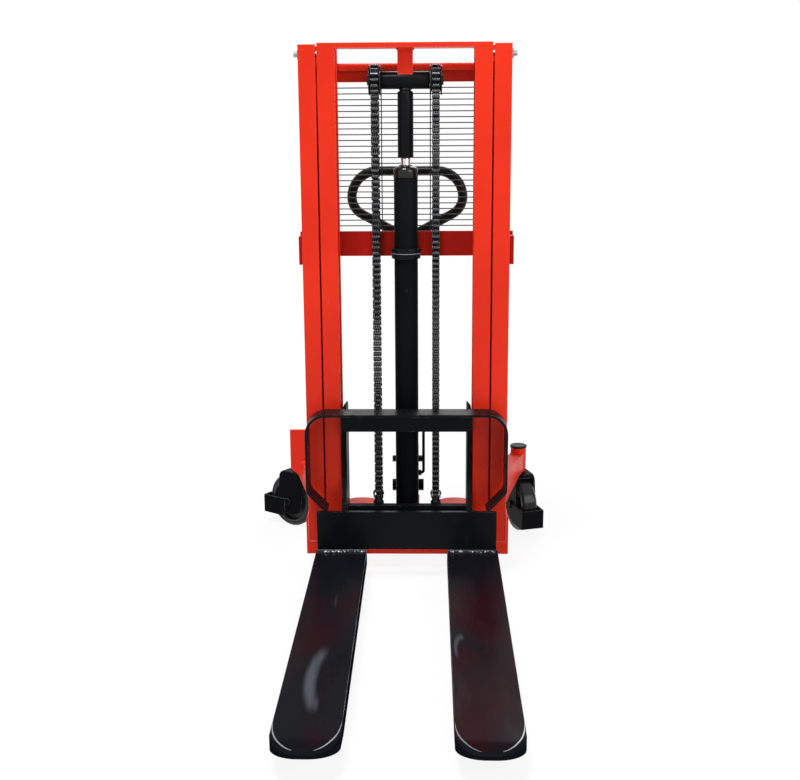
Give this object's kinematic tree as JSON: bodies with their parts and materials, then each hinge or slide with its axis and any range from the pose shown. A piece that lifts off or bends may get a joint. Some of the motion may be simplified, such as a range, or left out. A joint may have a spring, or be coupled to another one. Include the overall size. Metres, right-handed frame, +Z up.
{
  "type": "hand pallet stacker",
  "caption": "Manual pallet stacker with a nested two-stage mast, hydraulic lift cylinder, leaf chains, twin forks over low legs, swivel casters and a pump tiller.",
  "frame": {"origin": "on the floor below the middle of the mast's front face", "axes": "+X to the right seen from the fork side, +Y from the forks towards the operator, +Z up"},
  "size_m": [0.951, 1.7411, 1.573],
  "materials": {
    "red_paint": "gloss orange-red enamel",
    "black_paint": "gloss black enamel, scuffed",
    "handle_coat": "black coated tube",
    "wire": "dark coated wire",
    "chain": "oiled dark steel",
    "cast_black": "oiled black",
    "chrome": "hard chrome",
    "steel": "plated steel",
    "cap_plastic": "moulded black",
    "tyre": "grey-black polyurethane",
    "wheel_hub": "grey cast hub",
    "load_roller": "nylon"
  },
  "bodies": {
    "chassis": {"left_outer_column": "red_paint", "right_outer_column": "red_paint", "base_beam": "red_paint", "left_leg": "red_paint", "right_leg": "red_paint", "load_roller_axles": "steel", "rear_lower_beam": "red_paint", "rear_deck": "red_paint", "left_rear_arm": "red_paint", "right_rear_arm": "red_paint", "swivel_caps": "cap_plastic", "rear_top_beam": "red_paint", "rear_mid_beam": "red_paint", "wire_screen": "wire", "top_roller_studs": "steel", "fixed_chain_anchors": "chain", "cylinder_barrel": "black_paint", "cylinder_gland": "black_paint", "cylinder_collar": "black_paint", "rear_chains": "chain", "pump_unit": "black_paint", "tiller_pivot_pin": "steel"},
    "inner_mast": {"left_inner_column": "red_paint", "right_inner_column": "red_paint", "inner_top_bar": "red_paint", "inner_lower_tie": "red_paint", "crosshead": "black_paint", "wheel_axle": "steel", "piston_rod": "chrome", "lower_roller_pins": "steel", "front_chains": "chain", "chain_wraps": "chain"},
    "carriage": {"carriage_roller_pins": "steel", "carriage_side_plates": "black_paint", "carriage_lower_plate": "black_paint", "carriage_upper_plate": "black_paint", "carriage_hoop": "black_paint", "carriage_crossbar": "black_paint", "carriage_chain_anchors": "chain", "left_fork": "black_paint", "right_fork": "black_paint"},
    "chain_wheel_pair": {"chain_wheels": "cast_black"},
    "mast_upper_roller_pair": {"mast_upper_rollers": "steel"},
    "mast_lower_roller_pair": {"mast_lower_rollers": "steel"},
    "carriage_upper_roller_pair": {"carriage_upper_rollers": "steel"},
    "carriage_lower_roller_pair": {"carriage_lower_rollers": "steel"},
    "tiller": {"tiller_yoke": "black_paint", "tiller_handle": "handle_coat"},
    "plunger": {"pump_plunger": "steel"},
    "release": {"lowering_lever": "black_paint"},
    "left_load_wheel": {"left_load_roller": "load_roller"},
    "left_caster": {"left_caster_fork": "black_paint", "left_caster_axle": "steel"},
    "left_caster_wheel": {"left_caster_tyre": "tyre", "left_caster_hub": "wheel_hub"},
    "right_load_wheel": {"right_load_roller": "load_roller"},
    "right_caster": {"right_caster_fork": "black_paint", "right_caster_axle": "steel"},
    "right_caster_wheel": {"right_caster_tyre": "tyre", "right_caster_hub": "wheel_hub"}
  },
  "joints": [
    {"name": "mast_lift", "type": "slide", "parent": "chassis", "child": "inner_mast", "axis": [0, 0, 1], "range_m": [0, 0.957], "deforming": ["rear_chains"]},
    {"name": "carriage_lift", "type": "slide", "parent": "inner_mast", "child": "carriage", "axis": [0, 0, 1], "range_m": [0, 0.957], "deforming": ["front_chains"]},
    {"name": "chain_wheel_turn", "type": "hinge", "parent": "inner_mast", "child": "chain_wheel_pair", "pos_m": [0, 0.055, 1.471], "axis": [1, 0, 0], "range_deg": [-1402, 0]},
    {"name": "mast_upper_roller_turn", "type": "hinge", "parent": "chassis", "child": "mast_upper_roller_pair", "pos_m": [0, 0.0716, 1.545], "axis": [1, 0, 0], "range_deg": [0, 2497.4]},
    {"name": "mast_lower_roller_turn", "type": "hinge", "parent": "inner_mast", "child": "mast_lower_roller_pair", "pos_m": [0, 0.055, 0.142], "axis": [1, 0, 0], "range_deg": [-1292.1, 0]},
    {"name": "carriage_upper_roller_turn", "type": "hinge", "parent": "carriage", "child": "carriage_upper_roller_pair", "pos_m": [0, 0.053, 0.465], "axis": [1, 0, 0], "range_deg": [0, 1355.5]},
    {"name": "carriage_lower_roller_turn", "type": "hinge", "parent": "carriage", "child": "carriage_lower_roller_pair", "pos_m": [0, 0.053, 0.19], "axis": [1, 0, 0], "range_deg": [-1355.5, 0]},
    {"name": "left_load_roller_turn", "type": "hinge", "parent": "chassis", "child": "left_load_wheel", "pos_m": [-0.1985, -1.04, 0.037], "axis": [1, 0, 0], "continuous": true},
    {"name": "left_caster_swivel", "type": "hinge", "parent": "chassis", "child": "left_caster", "pos_m": [-0.369, 0.4, 0.196], "axis": [0, 0, 1], "continuous": true},
    {"name": "left_caster_wheel_turn", "type": "hinge", "parent": "left_caster", "child": "left_caster_wheel", "pos_m": [-0.39358, 0.41721, 0.09], "axis": [-0.5736, -0.8192, 0], "continuous": true},
    {"name": "right_load_roller_turn", "type": "hinge", "parent": "chassis", "child": "right_load_wheel", "pos_m": [0.1985, -1.04, 0.037], "axis": [1, 0, 0], "continuous": true},
    {"name": "right_caster_swivel", "type": "hinge", "parent": "chassis", "child": "right_caster", "pos_m": [0.369, 0.4, 0.196], "axis": [0, 0, 1], "continuous": true},
    {"name": "right_caster_wheel_turn", "type": "hinge", "parent": "right_caster", "child": "right_caster_wheel", "pos_m": [0.37777, 0.37131, 0.09], "axis": [0.9563, 0.2924, 0], "continuous": true},
    {"name": "tiller_pump", "type": "hinge", "parent": "chassis", "child": "tiller", "pos_m": [0, 0.205, 0.208], "axis": [-1, 0, 0], "range_deg": [0, 45], "stiffness_Nm_per_rad": 40, "springref_deg": -20.05},
    {"name": "plunger_stroke", "type": "slide", "parent": "chassis", "child": "plunger", "axis": [0, 0, -1], "range_m": [0, 0.0424]},
    {"name": "lowering_lever_turn", "type": "hinge", "parent": "chassis", "child": "release", "pos_m": [0.034, 0.15, 0.266], "axis": [-1, 0, 0], "range_deg": [0, 30], "stiffness_Nm_per_rad": 1.5, "springref_deg": -11.46}
  ],
  "couplings": [
    {"joint": "carriage_lift", "follows": "mast_lift", "ratio": 1},
    {"joint": "chain_wheel_turn", "follows": "mast_lift", "rad_per_m": -25.478},
    {"joint": "mast_upper_roller_turn", "follows": "mast_lift", "rad_per_m": 45.455},
    {"joint": "mast_lower_roller_turn", "follows": "mast_lift", "rad_per_m": -23.474},
    {"joint": "carriage_upper_roller_turn", "follows": "mast_lift", "rad_per_m": 24.631},
    {"joint": "carriage_lower_roller_turn", "follows": "mast_lift", "rad_per_m": -24.631},
    {"joint": "plunger_stroke", "follows": "tiller_pump", "m_per_rad": 0.053347}
  ]
}
